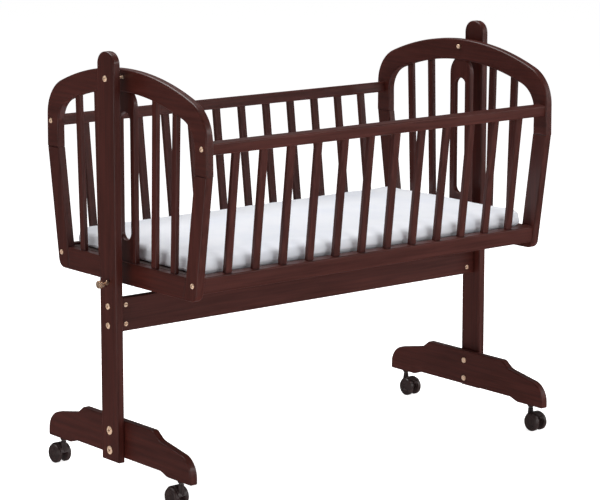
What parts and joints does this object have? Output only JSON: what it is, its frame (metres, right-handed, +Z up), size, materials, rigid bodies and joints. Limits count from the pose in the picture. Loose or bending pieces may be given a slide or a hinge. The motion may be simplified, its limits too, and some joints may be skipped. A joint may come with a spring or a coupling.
{
  "type": "swinging cradle on stand",
  "caption": "Wooden baby cradle with arched slatted ends that swings between the posts of a wheeled stand and carries a thin mattress.",
  "frame": {"origin": "On the floor, midway between the two posts and midway between front and back.", "axes": "+Z up, +X along the cradle towards the end without the lock pin, -Y towards the front; the swing axis is parallel to X."},
  "size_m": [1.08, 0.576, 0.926],
  "materials": {
    "espresso_wood": "dark red-brown stain under satin lacquer",
    "brass": "bright brass plating",
    "caster_plastic": "dark brown moulded plastic",
    "stem_steel": "bright nickel plating",
    "mattress_cover": "white woven cover, slightly blue in shade",
    "hardboard": "plain brown hardboard",
    "dowel_wood": "unfinished beech"
  },
  "bodies": {
    "stand": {"left_post": "espresso_wood", "right_post": "espresso_wood", "left_foot": "espresso_wood", "right_foot": "espresso_wood", "stretcher": "espresso_wood", "stretcher_bolts": "brass", "barrel_nuts": "brass", "foot_bolts": "brass", "foot_nuts": "brass", "pivot_bolts": "brass", "pivot_nuts": "brass", "pivot_end_nuts": "brass", "caster_sockets": "caster_plastic", "caster_stems": "stem_steel"},
    "cradle": {"left_arch": "espresso_wood", "right_arch": "espresso_wood", "left_front_leg": "espresso_wood", "left_back_leg": "espresso_wood", "right_front_leg": "espresso_wood", "right_back_leg": "espresso_wood", "left_end_rail": "espresso_wood", "right_end_rail": "espresso_wood", "end_slats": "espresso_wood", "left_center_board": "espresso_wood", "right_center_board": "espresso_wood", "front_top_rail": "espresso_wood", "back_top_rail": "espresso_wood", "front_bottom_rail": "espresso_wood", "back_bottom_rail": "espresso_wood", "front_slats": "espresso_wood", "back_slats": "espresso_wood", "rail_screws": "brass", "arch_dowels": "dowel_wood", "end_rail_dowels": "dowel_wood", "pivot_bushes": "brass", "mattress_board": "hardboard", "board_cleats": "espresso_wood", "mattress": "mattress_cover"},
    "lock": {"lock_pin": "brass", "lock_crossbar": "brass", "lock_knob": "brass"},
    "left_front_caster": {"left_front_hood": "caster_plastic", "left_front_axle": "stem_steel"},
    "left_front_wheel_a": {"left_front_wheel_a": "caster_plastic"},
    "left_front_wheel_b": {"left_front_wheel_b": "caster_plastic"},
    "left_back_caster": {"left_back_hood": "caster_plastic", "left_back_axle": "stem_steel"},
    "left_back_wheel_a": {"left_back_wheel_a": "caster_plastic"},
    "left_back_wheel_b": {"left_back_wheel_b": "caster_plastic"},
    "right_front_caster": {"right_front_hood": "caster_plastic", "right_front_axle": "stem_steel"},
    "right_front_wheel_a": {"right_front_wheel_a": "caster_plastic"},
    "right_front_wheel_b": {"right_front_wheel_b": "caster_plastic"},
    "right_front_brake": {"right_front_brake": "caster_plastic"},
    "right_back_caster": {"right_back_hood": "caster_plastic", "right_back_axle": "stem_steel"},
    "right_back_wheel_a": {"right_back_wheel_a": "caster_plastic"},
    "right_back_wheel_b": {"right_back_wheel_b": "caster_plastic"},
    "right_back_brake": {"right_back_brake": "caster_plastic"}
  },
  "joints": [
    {"name": "cradle_swing", "type": "hinge", "parent": "stand", "child": "cradle", "pos_m": [0, 0, 0.87], "axis": [1, 0, 0], "range_deg": [-12, 12]},
    {"name": "lock_pin_slide", "type": "slide", "parent": "stand", "child": "lock", "axis": [1, 0, 0], "range_m": [0, 0.0095]},
    {"name": "left_front_swivel", "type": "hinge", "parent": "stand", "child": "left_front_caster", "pos_m": [-0.499, -0.217, 0.03], "axis": [0, 0, 1], "continuous": true},
    {"name": "left_front_wheel_a_roll", "type": "hinge", "parent": "left_front_caster", "child": "left_front_wheel_a", "pos_m": [-0.499, -0.201, 0.021], "axis": [1, 0, 0], "continuous": true},
    {"name": "left_front_wheel_b_roll", "type": "hinge", "parent": "left_front_caster", "child": "left_front_wheel_b", "pos_m": [-0.499, -0.201, 0.021], "axis": [1, 0, 0], "continuous": true},
    {"name": "left_back_swivel", "type": "hinge", "parent": "stand", "child": "left_back_caster", "pos_m": [-0.499, 0.217, 0.03], "axis": [0, 0, 1], "continuous": true},
    {"name": "left_back_wheel_a_roll", "type": "hinge", "parent": "left_back_caster", "child": "left_back_wheel_a", "pos_m": [-0.499, 0.233, 0.021], "axis": [1, 0, 0], "continuous": true},
    {"name": "left_back_wheel_b_roll", "type": "hinge", "parent": "left_back_caster", "child": "left_back_wheel_b", "pos_m": [-0.499, 0.233, 0.021], "axis": [1, 0, 0], "continuous": true},
    {"name": "right_front_swivel", "type": "hinge", "parent": "stand", "child": "right_front_caster", "pos_m": [0.499, -0.217, 0.03], "axis": [0, 0, 1], "continuous": true},
    {"name": "right_front_wheel_a_roll", "type": "hinge", "parent": "right_front_caster", "child": "right_front_wheel_a", "pos_m": [0.499, -0.233, 0.021], "axis": [1, 0, 0], "continuous": true},
    {"name": "right_front_wheel_b_roll", "type": "hinge", "parent": "right_front_caster", "child": "right_front_wheel_b", "pos_m": [0.499, -0.233, 0.021], "axis": [1, 0, 0], "continuous": true},
    {"name": "right_front_brake_press", "type": "hinge", "parent": "right_front_caster", "child": "right_front_brake", "pos_m": [0.499, -0.2465, 0.0315], "axis": [1, 0, 0], "range_deg": [0, 12]},
    {"name": "right_back_swivel", "type": "hinge", "parent": "stand", "child": "right_back_caster", "pos_m": [0.499, 0.217, 0.03], "axis": [0, 0, 1], "continuous": true},
    {"name": "right_back_wheel_a_roll", "type": "hinge", "parent": "right_back_caster", "child": "right_back_wheel_a", "pos_m": [0.499, 0.201, 0.021], "axis": [1, 0, 0], "continuous": true},
    {"name": "right_back_wheel_b_roll", "type": "hinge", "parent": "right_back_caster", "child": "right_back_wheel_b", "pos_m": [0.499, 0.201, 0.021], "axis": [1, 0, 0], "continuous": true},
    {"name": "right_back_brake_press", "type": "hinge", "parent": "right_back_caster", "child": "right_back_brake", "pos_m": [0.499, 0.1875, 0.0315], "axis": [1, 0, 0], "range_deg": [0, 12]}
  ]
}
